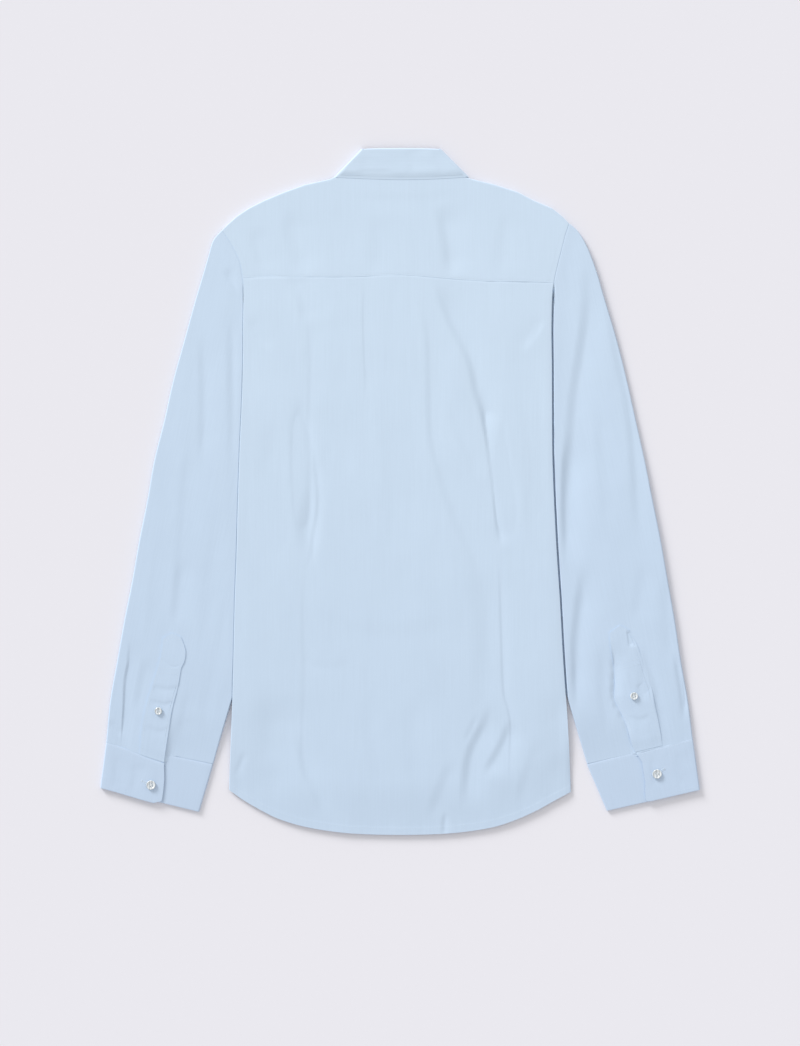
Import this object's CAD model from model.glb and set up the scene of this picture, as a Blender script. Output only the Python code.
"""A long sleeve dress shirt laid flat, its back up: cloth, seams, stitches, buttons, light and camera.

Lengths are millimetres in the part's own frame, and turn into metres where a mesh is made.
"""

import math

import bpy
import numpy as np
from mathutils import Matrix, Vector, noise


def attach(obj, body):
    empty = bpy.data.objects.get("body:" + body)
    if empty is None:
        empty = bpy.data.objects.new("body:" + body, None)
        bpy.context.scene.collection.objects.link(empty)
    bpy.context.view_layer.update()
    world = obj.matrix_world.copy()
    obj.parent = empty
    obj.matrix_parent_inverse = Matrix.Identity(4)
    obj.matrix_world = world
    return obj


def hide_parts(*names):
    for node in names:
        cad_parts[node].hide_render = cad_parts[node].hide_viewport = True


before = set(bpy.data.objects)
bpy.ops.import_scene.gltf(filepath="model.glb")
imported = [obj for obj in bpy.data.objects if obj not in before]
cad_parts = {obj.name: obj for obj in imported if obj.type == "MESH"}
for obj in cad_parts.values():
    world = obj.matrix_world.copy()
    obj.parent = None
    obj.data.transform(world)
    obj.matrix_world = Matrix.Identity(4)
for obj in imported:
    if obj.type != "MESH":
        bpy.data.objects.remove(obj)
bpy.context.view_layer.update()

MM = 0.001

# Thickness of the cloth as it shows, of the interlined collar and cuffs, and the gap at a seam.
SHELL = 0.6
STIFF_SHELL = 1.1
SEAM_GAP = 0.3
LAYER_GAP = 0.35

# Heights of the layers of the solids above the surface.
CLOTH = 1.0
BACK_TOP = 5.9
HEM_TOP = 3.7
SLEEVE_TOP = 5.6
SLEEVE_TUCKED_TOP = 2.6
FRONT_OVER_SLEEVE = 3.5
FRONT_OVER_COLLAR = 1.65
FRONT_OVER_BUTTONS = 2.3
CLOSURE_STEP = CLOTH + SEAM_GAP
COLLAR_TOP = 7.55
CUFF_WALL = 1.3
CUFF_UNDER_TOP = 2 * CUFF_WALL + 0.6
CUFF_TOP = CUFF_UNDER_TOP + LAYER_GAP + CUFF_WALL

BUTTON_DIAMETER = 11
PLACKET_BUTTON_DIAMETER = 9
BUTTON_HEIGHT = 2
FRONT_BUTTONS = 6
FRONT_BUTTON_FIRST_Y = 224.1
FRONT_BUTTON_PITCH = 93


def points(text):
    """The x,y pairs of a text."""
    return [tuple(map(float, pair.split(","))) for pair in text.split()]


def creases(text):
    """The rows of a text: three sizes of a crease and then the points of its line."""
    rows = [row.split(maxsplit=3) for row in text.strip().splitlines()]
    return [(float(drop), float(wall), float(run), points(line)) for drop, wall, run, line in rows]


# The armhole seam and the side edge of the body, from the shoulder point to the hem corner.
BODY_LEFT = points("""
    -208.3,306 -196.6,288.4 -187.2,268.5 -183.7,247.5 -183.2,224.1 -183.5,200.7 -183.8,153.9 -185.1,107.1
    -187.7,48.6 -189.7,-9.9 -191.2,-68.4 -193.4,-126.9 -194.8,-185.4 -196.2,-243.9 -198.9,-314.1
    -200.1,-349.2
""")
BODY_RIGHT = points("""
    197.7,314.1 193,300.1 184.9,268.5 179.6,245.1 177.8,224.1 177.1,189 177.6,148 177.8,95.4 178.2,42.7
    180.1,-9.9 183.1,-68.4 187,-126.9 189.8,-179.6 192.6,-222.9 195.4,-258 197.7,-296.6 198.9,-325.8
    200.1,-351.6
""")

# The shoulder fold from the left shoulder point, with the neck seam between its two halves.
SHOULDER_LINE = points("""
    -208.3,306 -201.2,313 -190.7,322.3 -176.7,331.7 -157.9,341.1 -135.7,350.4 -111.1,359.2 -81.9,365.6
    -74.9,369.1 -65.5,372.6 -49.1,373.8 0,374 49.1,373.8 65.5,372.6 74.9,369.1 84.2,365.6 108.8,359.8
    138.1,350.4 155.6,341.1 177.8,331.7 189.5,322.3 197.7,314.1
""")
NECK_LEFT_X = -67.9
NECK_RIGHT_X = 67.9
YOKE_SEAM = points("-183.9,249.8 -117,251 -58.5,251 0,253.3 46.8,249.8 93.6,246.3 152.1,245.1 179.5,243.9")
HEM = points("""
    -200.1,-349.2 -183.7,-360.9 -161.5,-373.8 -139.2,-384.3 -105.3,-393.7 -58.5,-400.1 0,-401.9
    58.5,-400.1 105.3,-393.7 135.7,-384.3 161.5,-372.6 182.5,-360.9 200.1,-351.6
""")
FRONT_HEM_RISE = 9

# The front parts of the yoke end at these seams, from the armhole to the neck.
FRONT_SEAM_LEFT = points("-192.5,280.2 -65.5,336.4")
FRONT_SEAM_RIGHT = points("65.5,336.4 188.4,283.7")
NECK_EDGE_LEFT = points("-59.7,327 -44.5,301.9 -17.5,285.5 15,283.1")
NECK_EDGE_RIGHT = points("-15,283.1 17.5,285.5 44.5,301.9 59.7,327")
CLOSURE_HALF_WIDTH = 15

# Sleeve edges in plan: the armhole end, the outer fold and the edge tucked under the body.
SLEEVE_LEFT = {
    "armhole": points("""
        -208.3,306 -196.6,288.4 -187.2,268.5 -183.9,247.5 -184.4,233.4 -184.4,219.4 -173.2,186.6
        -155.6,151.5 -138.1,107.1 -126.4,72
    """),
    "outer": points("""
        -208.3,306 -218.8,294.3 -224.6,275.5 -232.8,247.5 -239.8,224.1 -252.7,177.3 -265.6,130.5
        -276.1,83.7 -287.8,36.9 -296,-9.9 -305.4,-56.7 -313.6,-103.5 -322.9,-150.3 -331.1,-197.1
        -339.3,-243.9 -344,-291.9
    """),
    "inner": points("""
        -126.4,72 -120.5,36.9 -125.2,1.8 -133.4,-33.3 -147.4,-80.1 -161.5,-126.9 -175.5,-173.7
        -189.5,-220.5 -196.6,-243.9 -210.6,-290.7 -218.8,-317.7
    """),
}
SLEEVE_RIGHT = {
    "armhole": points("""
        197.7,314.1 193,300.1 184.9,268.5 179.8,245.1 178.9,232.2 178.2,219.4 167.9,186.6 152.1,151.5
        133.4,107.1 122.8,72
    """),
    "outer": points("""
        197.7,314.1 209.4,303.6 220,284.9 230.5,256.8 238.7,228.7 253.9,177.3 265.6,130.5 276.1,83.7
        286.6,36.9 296,-9.9 305.4,-56.7 313.6,-103.5 321.8,-150.3 328.8,-197.1 337,-243.9 342.8,-289.6
    """),
    "inner": points("""
        122.8,72 117,36.9 120.5,1.8 129.9,-33.3 145.1,-80.1 160.3,-126.9 174.3,-173.7 189.5,-220.5
        196.6,-243.9 210.6,-290.7 218.8,-317.7
    """),
}

# How far in from the side the tucked sleeve reaches: y and the distance from the centre line.
TUCK_REACH = points("""
    317.7,251.5 268.5,222.3 241.6,195.4 224.1,179 189,165 153.9,150.9 107.1,133.4 72,122.8 36.9,117
    1.8,120.5 -33.3,129.9 -80.1,145.1 -126.9,160.3 -173.7,174.3 -220.5,188.4 -243.9,195.4 -284.9,210.6
    -331.7,231.7 -407.7,241
""")

# Cuff corners: seam end and free end on the outer side, then the same on the inner side.
CUFF_LEFT = {
    "outer_seam": (-344, -293.7), "outer_free": (-351, -346.9),
    "inner_seam": (-218.8, -319.4), "inner_free": (-235.2, -375),
    "end_shares": [(0.0, 0.542), (0.5, 0.594), (0.8, 0.614), (1.0, 0.62)], "droop": 10,
}
CUFF_RIGHT = {
    "outer_seam": (342.8, -289), "outer_free": (351, -349.2),
    "inner_seam": (218.8, -319.4), "inner_free": (242.2, -373.8),
    "end_shares": [(0.0, 0.535), (0.2, 0.505), (0.6, 0.53), (1.0, 0.585)], "droop": 1,
}
UNDERLAP_END = 0.34

# Guard placket edges from the pointed top to the cuff.
PLACKET_LEFT = {
    "outer": points("""
        -277.3,-171.4 -279,-185.4 -282,-199.5 -289,-222.9 -297.2,-249.8 -302.3,-276.7 -304.7,-307.4
    """),
    "free": points("""
        -256.2,-170.2 -251,-185.4 -252.1,-198.3 -256.2,-207.7 -259.7,-227.6 -266.8,-255.6 -270.9,-281.4
        -274.2,-302.4 -276.2,-316.7
    """),
    "tip": (-266.8, -165.6),
}
PLACKET_RIGHT = {
    "outer": points("""
        267.9,-162 277.3,-179.6 283.1,-197.1 287.8,-213.5 294.8,-232.2 298.3,-251 302.4,-269.7 307,-297.1
    """),
    "free": points("""
        244.5,-165.6 246.9,-185.4 250.4,-206.5 251.5,-225.2 251,-242.8 257.4,-256.8 264.4,-272
        270.3,-293.1 274.9,-304.8
    """),
    "tip": (257.4, -156.2),
}
PLACKET_BUTTON_LEFT = (-282.6, -256.8)
PLACKET_BUTTON_RIGHT = (273.8, -239.3)
CUFF_BUTTON_LEFT = (-291.3, -343.4)
CUFF_BUTTON_RIGHT = (300.7, -330.5)
CUFF_HOLE_END_LEFT = (-301.9, -338.7)
CUFF_HOLE_END_RIGHT = (309.5, -324.7)
COLLAR_BUTTON = (0, 300.1)

# Collar edges in plan: the fold and the rim of the leaf and of the stand, behind and in front.
FALL_BACK = {
    "fold": points("-45.6,400.7 -23.4,401.7 23.4,401.7 48,400.7"),
    "rim": points("-77.2,367.7 -39.8,365.9 0,364.9 39.8,365.6 80.7,368"),
}
FALL_LEFT = {
    "fold": points("-45.6,400.7 -37.4,364.5 -22.2,332.9 -4.7,317.1"),
    "rim": points("-77.2,367.7 -70.2,329.4 -56.2,288.4 -33.9,253.3"),
}
FALL_RIGHT = {
    "fold": points("48,400.7 38.6,364.5 22.2,332.9 4.7,317.1"),
    "rim": points("80.7,368 71.4,329.4 57.3,288.4 33.9,253.3"),
}
STAND_BACK = {
    "fold": points("-40.9,394.6 0,394.9 42.1,394.6"),
    "rim": points("-64.3,375.9 0,375.7 65.5,375.9"),
}
STAND_LEFT = {
    "fold": points("-40.9,394.6 -33.9,364.5 -18.7,335.2 -2.3,318.8 14,315.3"),
    "rim": points("-64.3,375.9 -58.5,334 -43.3,304.2 -16.4,287.8 14,285.5"),
}
STAND_RIGHT = {
    "fold": points("42.1,394.6 35.1,364.5 19.9,335.2 2.3,318.8 -14,315.3"),
    "rim": points("65.5,375.9 58.5,334 43.3,304.2 16.4,287.8 -14,285.5"),
}

# Creases, each a soft step down to the left of the way its line runs, so that it faces away from the
# light: how far it drops, half the width of its wall, how far the cloth takes to come back up, its line.
BACK_CREASES = creases("""
    0.3 1.6 26  -39.8,247.5 -43.3,224.1 -43.3,189 -42.1,153.9 -40.9,124.6 -43.3,97.7
    0.75 4 22  21.1,243.9 25.7,212.4 31.6,171.4 32.8,107.1 35.1,60.3 46.8,13.5 57.3,-27.5
    0.8 6 26  38.6,42.7 55,-9.9 67.9,-45 81.9,-75.5 93.6,-109.4
    2.1 5 24  40.9,252.1 46.8,224.1 62,189 79.6,153.9 90.1,107.1 100.6,69.6
    4.4 4 14  88.9,121.1 95.9,93 103,60.3 107.6,31 111.1,1.8 113.5,-27.5 115.8,-68.4
    0.4 5 20  53.8,118.8 64.3,72 79.6,36.9 86.6,6.4
    0.8 6 26  -133.4,252.1 -122.8,235.8 -115.8,217 -112.3,193.6
    0.3 1.6 9  -110,224.1 -106.5,148 -108.8,83.7 -112.3,25.2
    2.9 11 13  -122.8,116.4 -120.5,60.3 -119.3,13.5 -114.7,-33.3 -110,-87.2
    0.6 1.6 7  -104.1,60.3 -98.3,13.5 -97.1,-19.3 -101.8,-47.4 -105.3,-75.5 -113.5,-96.5
    0.28 1.6 9  -113.5,-80.1 -114.7,-150.3 -113.5,-220.5 -115.8,-290.7 -113.5,-328.2 -101.8,-356.3
    0.6 1.8 9  113.5,-62.6 116.4,-115.2 118.2,-173.7 120.5,-232.2 126.4,-258 128.7,-279 126.4,-349.2
    1.1 13 40  77.2,-66.1 90.1,-126.9 93.6,-173.7 90.1,-232.2 81.9,-272
    0.35 12 40  81.9,-131.6 46.8,-152.7 0,-160.9 -58.5,-156.2 -95.9,-139.8 -119.3,-117.6
    0.2 4 12  -53.8,-198.3 -86.6,-203 -112.3,-197.1
    0.2 4 9  -117,-197.1 -105.3,-205.3 -95.9,-215.9
    0.8 5 15  -121.7,-281.4 -115.8,-314.1 -107.6,-339.9 -95.9,-363.3 -88.9,-386.7
    0.6 2.4 6  -182.5,-302.4 -188.4,-317.7 -195.4,-332.9
    1.9 6 22  105.3,-243.9 97.1,-269.7 85.4,-293.1 78.4,-314.1 74.9,-342.2 73.7,-375
    1.5 5 18  127.5,-265 120.5,-288.4 111.1,-307.1 103,-321.2 97.1,-335.2
    0.5 3 6  91.3,-258 81.9,-276.7 72.5,-295.4
    0.8 7 18  60.8,-309.5 48,-339.9 37.4,-368 32.8,-389
    0.9 1.6 5  51.5,-375 50.3,-389 50.3,-404.2
    0.5 6 18  159.1,-283.7 150.9,-314.1 141.6,-344.6 135.7,-370.3
    1.8 26 60  182.5,-232.2 179,-290.7 173.2,-355.1
    1.6 24 60  -161.5,-232.2 -161.5,-290.7 -154.4,-368
    0.6 22 80  -115.8,224.1 -118.2,194.8 -118.2,153.9 -115.8,95.4
    0.7 12 34  -149.8,102.4 -160.3,48.6 -161.5,-45 -156.8,-103.5
    0.5 12 34  -161.5,-215.9 -160.3,-267.3 -166.1,-325.8
    0.45 9 30  -17.5,83.7 -14,13.5 -18.7,-80.1
    0.45 9 30  -46.8,-232.2 -37.4,-290.7 -23.4,-363.3
    0.5 10 30  4.7,-232.2 9.4,-290.7 7,-360.9
    0.5 9 24  142.7,189 147.4,107.1 149.8,25.2 147.4,-80.1
    0.5 3 12  -181.3,203 -166.1,179.6 -149.8,163.2
    0.6 4 14  142.7,163.2 159.1,184.3 172,205.3
""")
YOKE_CREASES = creases("""
    1.5 6 24  40.9,334 48,310.6 52.6,282.6 57.3,247.5
    0.5 9 30  -32.8,324.7 -30.4,289.6 -37.4,252.1
    0.7 8 30  -128.7,334 -132.2,306 -121.7,268.5 -114.7,247.5
    0.5 8 26  126.4,334 117,298.9 114.7,252.1
    0.5 6 22  -175.5,310.6 -170.8,282.6 -161.5,252.1
    0.25 6 20  77.2,353.9 35.1,345.7 -35.1,345.7 -74.9,353.9
""")
SLEEVE_LEFT_CREASES = creases("""
    0.7 3 12  -208.3,259.2 -197.7,242.8 -187.2,226.4
    0.9 5 18  -234,189 -232.8,130.5 -232.8,83.7 -235.2,25.2
    0.9 6 16  -201.2,212.4 -198.9,130.5 -197.7,83.7 -196.6,13.5
    0.5 6 22  -248,72 -255.1,1.8 -260.9,-80.1 -264.4,-150.3
    0.8 5 18  -257.4,-75.5 -263.2,-122.3 -266.8,-162
    0.3 7 20  -217.6,-9.9 -224.6,-91.8 -235.2,-185.4
    0.2 6 20  -280.8,-33.3 -290.2,-103.5 -294.8,-162 -299.5,-197.1
    0.7 5 16  -299.5,-191.3 -305.4,-225.2 -312.4,-262.7
    0.25 5 18  -203.6,-103.5 -214.1,-173.7 -229.3,-243.9 -237.5,-302.4
    1.1 0.6 14  -317.3,-169.1 -318.2,-197.1 -322.2,-222.9 -323.3,-243.9 -325.3,-276.7 -326.4,-301.3
    0.6 2.4 6  -342.8,-269.7 -335.8,-277.9 -326.4,-288.4
    0.35 4 14  -249.2,-229.9 -255.1,-260.3 -257.4,-293.1
    0.15 4 12  -238.7,-262.7 -250.4,-269.7 -262.1,-267.3
""")
SLEEVE_RIGHT_CREASES = creases("""
    1.8 7 20  214.1,289.6 216.4,247.5 215.3,203 208.3,153.9 201.2,107.1 196.6,48.6 193,-9.9 190.7,-75.5
    2.3 6 16  212.9,-80.1 208.3,-126.9 203.6,-173.7 202.4,-220.5 203.6,-262.7
    1.2 5 14  236.3,235.8 243.4,200.7 252.7,153.9 263.2,107.1 270.3,48.6 273.8,-9.9 278.5,-80.1
    2.0 5 24  194.2,72 190.7,13.5 189.5,-33.3 191.9,-91.8
    0.6 7 20  227,107.1 234,36.9 238.7,-56.7
    0.6 7 20  280.8,-80.1 276.1,-126.9 273.8,-155
    0.8 6 16  234,-173.7 234,-232.2 241,-290.7
    1.2 3 8  318.2,-185.4 325.3,-220.5 328.8,-246.3 331.1,-274.4
    0.5 1.2 4  328.8,-215.9 332.3,-236.9 332.3,-260.3
    1.1 3 9  280.8,-176.1 286.6,-199.5 292.5,-215.9 297.2,-232.2 299.5,-251 304.2,-269.7 308.9,-291.9
    0.6 6 18  306.5,-91.8 308.9,-150.3 313.6,-208.8
    2.1 1.5 9  244.5,-173.7 248.6,-191.3 249.2,-211.2 248.6,-232.2 249.2,-243.9 256.2,-258 \
        263.2,-273.2 270.3,-295.4
""")
PLACKET_LEFT_CREASES = creases("""
    0.45 2.6 7  -252.7,-225.2 -271.4,-229.9 -292.5,-225.2
    0.5 2 7  -262.1,-242.8 -276.1,-247.5 -294.8,-241.6
    0.3 2 7  -269.1,-274.4 -283.1,-279 -299.5,-272
    0.2 0.8 2  -256.2,-199.5 -262.1,-204.2 -269.1,-202.4 -279.6,-192.5
""")
PLACKET_RIGHT_CREASES = creases("""
    1.0 1.0 8  264.4,-162 266.8,-171.4 267.9,-183.1
    0.5 2 8  297.2,-215.9 285.5,-225.2 273.8,-227.6
    0.35 2 8  294.8,-258 280.8,-265 264.4,-260.3
    1.1 8 12  279.6,-171.4 283.1,-201.8 282,-232.2 280.8,-251
""")
FALL_CREASES = creases("""
    0.35 2 7  -3.5,375 -32.8,375.6 -56.2,374.4
    0.3 5 14  4.7,399.6 10.5,382 7,364.5
    0.3 4 14  35.1,398.4 43.3,382 46.8,365.6
    0.2 5 14  -39.8,397.2 -44.5,383.2 -46.8,366.8
""")
CUFF_CREASES = creases("""
    0.4 4 14  -332.3,-304.8 -334.6,-325.8 -337,-349.2
    0.3 4 14  -308.9,-314.1 -312.4,-332.9 -315.9,-353.9
    0.3 5 14  322.9,-302.4 325.3,-325.8 329.9,-351.6
    0.3 4 14  294.8,-304.8 292.5,-321.2 297.2,-349.2
""")


# Numbers and curves.
def mix(a, b, t):
    return a + (b - a) * t


def smooth(t):
    t = np.clip(t, 0, 1)
    return t * t * (3 - 2 * t)


def round_off(distance, radius):
    """A quarter round that rises from 0 at the edge to 1 at the given distance in from it."""
    out = 1 - np.clip(distance / radius, 0, 1)
    return np.sqrt(1 - out * out)


def track_of(points, steps=16):
    """Places along a smooth curve through points, and the share of the length at each."""
    p = np.array(points, float)
    p = np.vstack([p[:1], p, p[-1:]])
    t = np.linspace(0, 1, steps, endpoint=False)[:, None]
    parts = []
    for k in range(len(p) - 3):
        before, start, end, after = p[k : k + 4]
        slope_in, slope_out = (end - before) / 2, (after - start) / 2
        parts.append(
            (2 * start - 2 * end + slope_in + slope_out) * t**3
            + (3 * end - 3 * start - 2 * slope_in - slope_out) * t**2
            + slope_in * t
            + start
        )
    track = np.vstack(parts + [p[-1:]])
    return track, shares_of(track)


def shares_of(track):
    steps = np.hypot(*np.diff(track, axis=0).T)
    total = np.concatenate([[0], np.cumsum(steps)])
    return total / total[-1]


def along(track, shares):
    return lambda s: np.stack([np.interp(s, shares, track[:, k]) for k in (0, 1)], axis=-1)


def edge(points):
    """A smooth curve through points, as a function of the share of its length."""
    return along(*track_of(points))


def corners(points):
    """Straight lines through points, as a function of the share of their length."""
    track = np.array(points, float)
    return along(track, shares_of(track))


def part(curve, start, end):
    return lambda s: curve(mix(start, end, s))


def raised(curve, by):
    return lambda s: curve(s) + np.array([0, by])


def share_at_y(curve, y):
    s = np.linspace(0, 1, 2001)
    return float(np.interp(-y, -curve(s)[:, 1], s))


def height_over_x(points):
    """The y of a smooth curve that runs right, as a function of x."""
    return straight_over_x(edge(points)(np.linspace(0, 1, 97)))


def straight_over_x(points):
    """The y of straight lines that run right, as a function of x."""
    table = np.array(points, float)
    return lambda x: np.interp(x, table[:, 0], table[:, 1])


def spread(first, last, height):
    """A curve between two x at the y that a function gives, as a function of the share of its width."""
    return lambda s: np.stack([mix(first, last, s), height(mix(first, last, s))], axis=-1)


def by_x(points):
    return spread(points[0][0], points[-1][0], height_over_x(points))


def straight(start, end):
    return lambda s: np.array(start) + (np.array(end) - np.array(start)) * np.asarray(s)[..., None]


def patch(top, bottom, left, right):
    """A plan patch from its four edges, all of them functions of a share."""
    a, b, c, d = top(0.0), top(1.0), bottom(0.0), bottom(1.0)

    def plan(u, v):
        across, down = u[..., None], v[..., None]
        lofted = mix(top(u), bottom(u), down) + mix(left(v), right(v), across)
        return lofted - mix(mix(a, b, across), mix(c, d, across), down)

    return plan


def spaced(count, near=(), width=0.02, gain=3.0):
    """Shares from 0 to 1, closer together near the given ones."""
    s = np.linspace(0, 1, 4001)
    density = 1 + sum(gain * np.exp(-(((s - centre) / width) ** 2)) for centre in near)
    total = np.cumsum(density)
    total = (total - total[0]) / (total[-1] - total[0])
    return np.interp(np.linspace(0, 1, count + 1), total, s)


# Creases and ripples. A crease fades over this share of its length at each end.
CREASE_FADE = 0.3


def fade(share, reach):
    return smooth(np.minimum(share, 1 - share) / reach)


def nearest_on(track, shares, x, y):
    """Signed distance from a track, above 0 on its left when walking along it, and the share there."""
    best = np.full(x.shape, np.inf)
    signed = np.zeros(x.shape)
    place = np.zeros(x.shape)
    for k in range(len(track) - 1):
        ax, ay = track[k]
        dx, dy = track[k + 1] - track[k]
        size = dx * dx + dy * dy
        t = np.clip(((x - ax) * dx + (y - ay) * dy) / size, 0, 1)
        away = np.hypot(x - ax - t * dx, y - ay - t * dy)
        closer = away < best
        best = np.where(closer, away, best)
        side = np.sign(dx * (y - ay) - dy * (x - ax))
        signed = np.where(closer, side * away, signed)
        place = np.where(closer, mix(shares[k], shares[k + 1], t), place)
    return signed, place


def crease_height(rows, x, y):
    """The height of creases at places, and 0 away from them."""
    total = np.zeros(x.shape)
    for drop, wall, run, line in rows:
        track, shares = track_of(line, 5)
        margin = wall + 2.5 * run
        low, high = track.min(axis=0) - margin, track.max(axis=0) + margin
        near = (x > low[0]) & (x < high[0]) & (y > low[1]) & (y < high[1])
        if near.any():
            away, share = nearest_on(track, shares, x[near], y[near])
            back_up = np.exp(-((np.maximum(away, 0) / run) ** 2))
            total[near] -= drop * smooth((away / wall + 1) / 2) * back_up * fade(share, CREASE_FADE)
    return total


def ripple(x, y, across, down, seed):
    """Seeded soft unevenness between -1 and 1, of the given sizes across and down."""
    flat = [noise.noise(Vector((a / across, b / down, seed))) for a, b in zip(x.ravel(), y.ravel())]
    return np.array(flat).reshape(x.shape)


# The parts of the small unevenness that all the laid cloth has: height, size across and down, seed.
DRAPE = ((0.35, 70, 110, 0), (0.22, 22, 150, 10), (0.07, 14, 19, 20))

# Puckers along stitches: height, size across and down, seed and reach.
HEM_PUCKER = (0.12, 9, 30, 3, 9)
YOKE_PUCKER = (0.1, 10, 40, 5, 7)


def drape(x, y, seed):
    return sum(height * ripple(x, y, across, down, seed + more) for height, across, down, more in DRAPE)


def pucker(x, y, away, kind):
    height, across, down, seed, reach = kind
    return height * ripple(x, y, across, down, seed) * np.exp(-((away / reach) ** 2))


# Heights of the body's layers, as in the solids.
TUCK_MARGIN = 6
TUCK_SLOPE = 36
CLOSURE_MARGIN = 3
CLOSURE_SLOPE = 36
BUTTON_MARGIN = 15
BUTTON_SLOPE = 30
COLLAR_POINTS_X = 84
COLLAR_POINTS_Y = 247.5
COLLAR_SLOPE = 26
LAST_BUTTON_Y = FRONT_BUTTON_FIRST_Y - (FRONT_BUTTONS - 1) * FRONT_BUTTON_PITCH
SIDE_ROUND_LEFT = 0.6
SIDE_ROUND_RIGHT = 13
SIDE_EDGE_TOP_Y = 242.8
SIDE_EDGE_FADE = 28
HEM_SLOPE = 62
HEM_WIDTH = 8


def falling(rows, key, column):
    """The value beside a key in rows whose key falls."""
    table = np.array(rows, float)
    return np.interp(-key, -table[:, 1 - column], table[:, column])


def body_edge_x(x, y):
    return np.abs(np.where(x < 0, falling(BODY_LEFT, y, 0), falling(BODY_RIGHT, y, 0)))


hem_y = straight_over_x(HEM)


def front_bottom(x, y, is_right):
    """The lower face of the fronts, higher over sleeves, collar points and buttons."""
    tuck = smooth(1 + (np.abs(x) - falling(TUCK_REACH, y, 1) + TUCK_MARGIN) / TUCK_SLOPE)
    closure = 1 - smooth((np.abs(x) - CLOSURE_HALF_WIDTH - CLOSURE_MARGIN) / CLOSURE_SLOPE)
    buttons = smooth((y - LAST_BUTTON_Y + BUTTON_MARGIN + BUTTON_SLOPE) / BUTTON_SLOPE)
    collar = 1 - smooth((np.abs(x) - COLLAR_POINTS_X) / COLLAR_SLOPE)
    collar = collar * smooth((y - COLLAR_POINTS_Y + COLLAR_SLOPE) / COLLAR_SLOPE)
    lift = FRONT_OVER_BUTTONS * buttons + np.where(is_right, CLOSURE_STEP, 0)
    return np.maximum(np.maximum(FRONT_OVER_SLEEVE * tuck, FRONT_OVER_COLLAR * collar), lift * closure)


def body_level(x, y):
    """The upper face of the yoke and back: it rounds down at the side edges and sinks to the hem."""
    to_hem = smooth((y - hem_y(x)) / HEM_SLOPE)
    level = mix(HEM_TOP, BACK_TOP, to_hem)
    seam = front_bottom(x, y, x > 0) + CLOTH + LAYER_GAP + CLOTH / 2
    free = smooth((SIDE_EDGE_TOP_Y - y) / SIDE_EDGE_FADE)
    radius = np.where(x < 0, SIDE_ROUND_LEFT, SIDE_ROUND_RIGHT)
    rounding = mix(1, round_off(inside(x, y), radius), free)
    return np.maximum(mix(seam, level, rounding), seam)


def lowest_back(x, y):
    return front_bottom(x, y, x > -CLOSURE_HALF_WIDTH) + CLOTH + LAYER_GAP


ARMHOLE_END_Y = 225.2
ARMHOLE_DIP = 20
SEAM_LAP = 1.6
SEAM_LAP_DROP = 0.26
SEAM_LAP_SLOPE = 1.4
YOKE_STITCH = 2.0
YOKE_EDGE_DROP = 0.1
STITCH_DIP = 0.06
STITCH_DIP_WIDTH = 0.9
SEWN_WIDTH = 4
SEWN_THINNING = 0.62
# Creases and unevenness die down this near the body's side edge.
BACK_CALM = 14
YOKE_CALM = 10
HEM_STEP = 0.14
HEM_STEP_SLOPE = 0.8
yoke_seam_y = height_over_x(YOKE_SEAM)


def inside(x, y):
    """How far in from the body's side edge a place lies."""
    return body_edge_x(x, y) - np.abs(x)


def sewn_thickness(x, y):
    """The cloth of the body, which thins out where it is sewn, along the armholes and the yoke seam."""
    at_armhole = smooth((y - ARMHOLE_END_Y) / ARMHOLE_DIP) * (1 - smooth(inside(x, y) / SEWN_WIDTH))
    at_seam = (1 - smooth((y - yoke_seam_y(x)) / SEWN_WIDTH)) * (y > yoke_seam_y(x))
    return SHELL * (1 - SEWN_THINNING * np.maximum(at_armhole, at_seam))


def back_top(x, y):
    above_hem = y - hem_y(x)
    hem_step = HEM_STEP * smooth((HEM_WIDTH - above_hem) / HEM_STEP_SLOPE + 0.5)
    hem_pucker = pucker(x, y, above_hem - HEM_WIDTH, HEM_PUCKER)
    below_seam = yoke_seam_y(x) - y
    seam = -SEAM_LAP_DROP * (1 - smooth((below_seam + 0.2) / SEAM_LAP_SLOPE))
    seam = seam + 0.15 * ripple(x, y, 11, 60, 4) * np.exp(-np.maximum(below_seam, 0) / 14)
    calm = smooth(inside(x, y) / BACK_CALM)
    form = crease_height(BACK_CREASES, x, y) * mix(0.25, 1, calm) + drape(x, y, 1.5) * calm
    level = body_level(x, y) + form + hem_step + hem_pucker + seam
    return np.maximum(level, lowest_back(x, y) + SHELL)


def yoke_top(x, y):
    above_seam = y - yoke_seam_y(x)
    edge_round = YOKE_EDGE_DROP * (round_off(above_seam + 0.3, 1.2) - 1)
    stitch = -STITCH_DIP * np.exp(-(((above_seam - YOKE_STITCH) / STITCH_DIP_WIDTH) ** 2))
    calm = smooth(inside(x, y) / YOKE_CALM)
    form = crease_height(YOKE_CREASES, x, y) + 0.6 * drape(x, y, 7.5)
    seam_pucker = pucker(x, y, above_seam - YOKE_STITCH, YOKE_PUCKER)
    return body_level(x, y) + form * calm + edge_round + stitch + seam_pucker


# Heights of the sleeves.
CUFF_SEAM_Y = -304.8
CUFF_SLOPE = 120
CUFF_SEAM_LEVEL = 4.6
TUCKED_IN = 6
SLEEVE_CALM = 12
GATHERS = 0.25
GATHERS_REACH = 26
ARMHOLE_SLOPE = 20
ARMHOLE_STEP = 1.2
# The slot between the body's edge and each sleeve, left and right: its width and level, the width of
# the sleeve's wall beside it, how low the sleeve lies there and how far it takes to rise.
SLOTS = ((0.0, 1.6), (4.3, 0.7), (0.7, 1.2), (0.35, 0.0), (20, 1))


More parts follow.
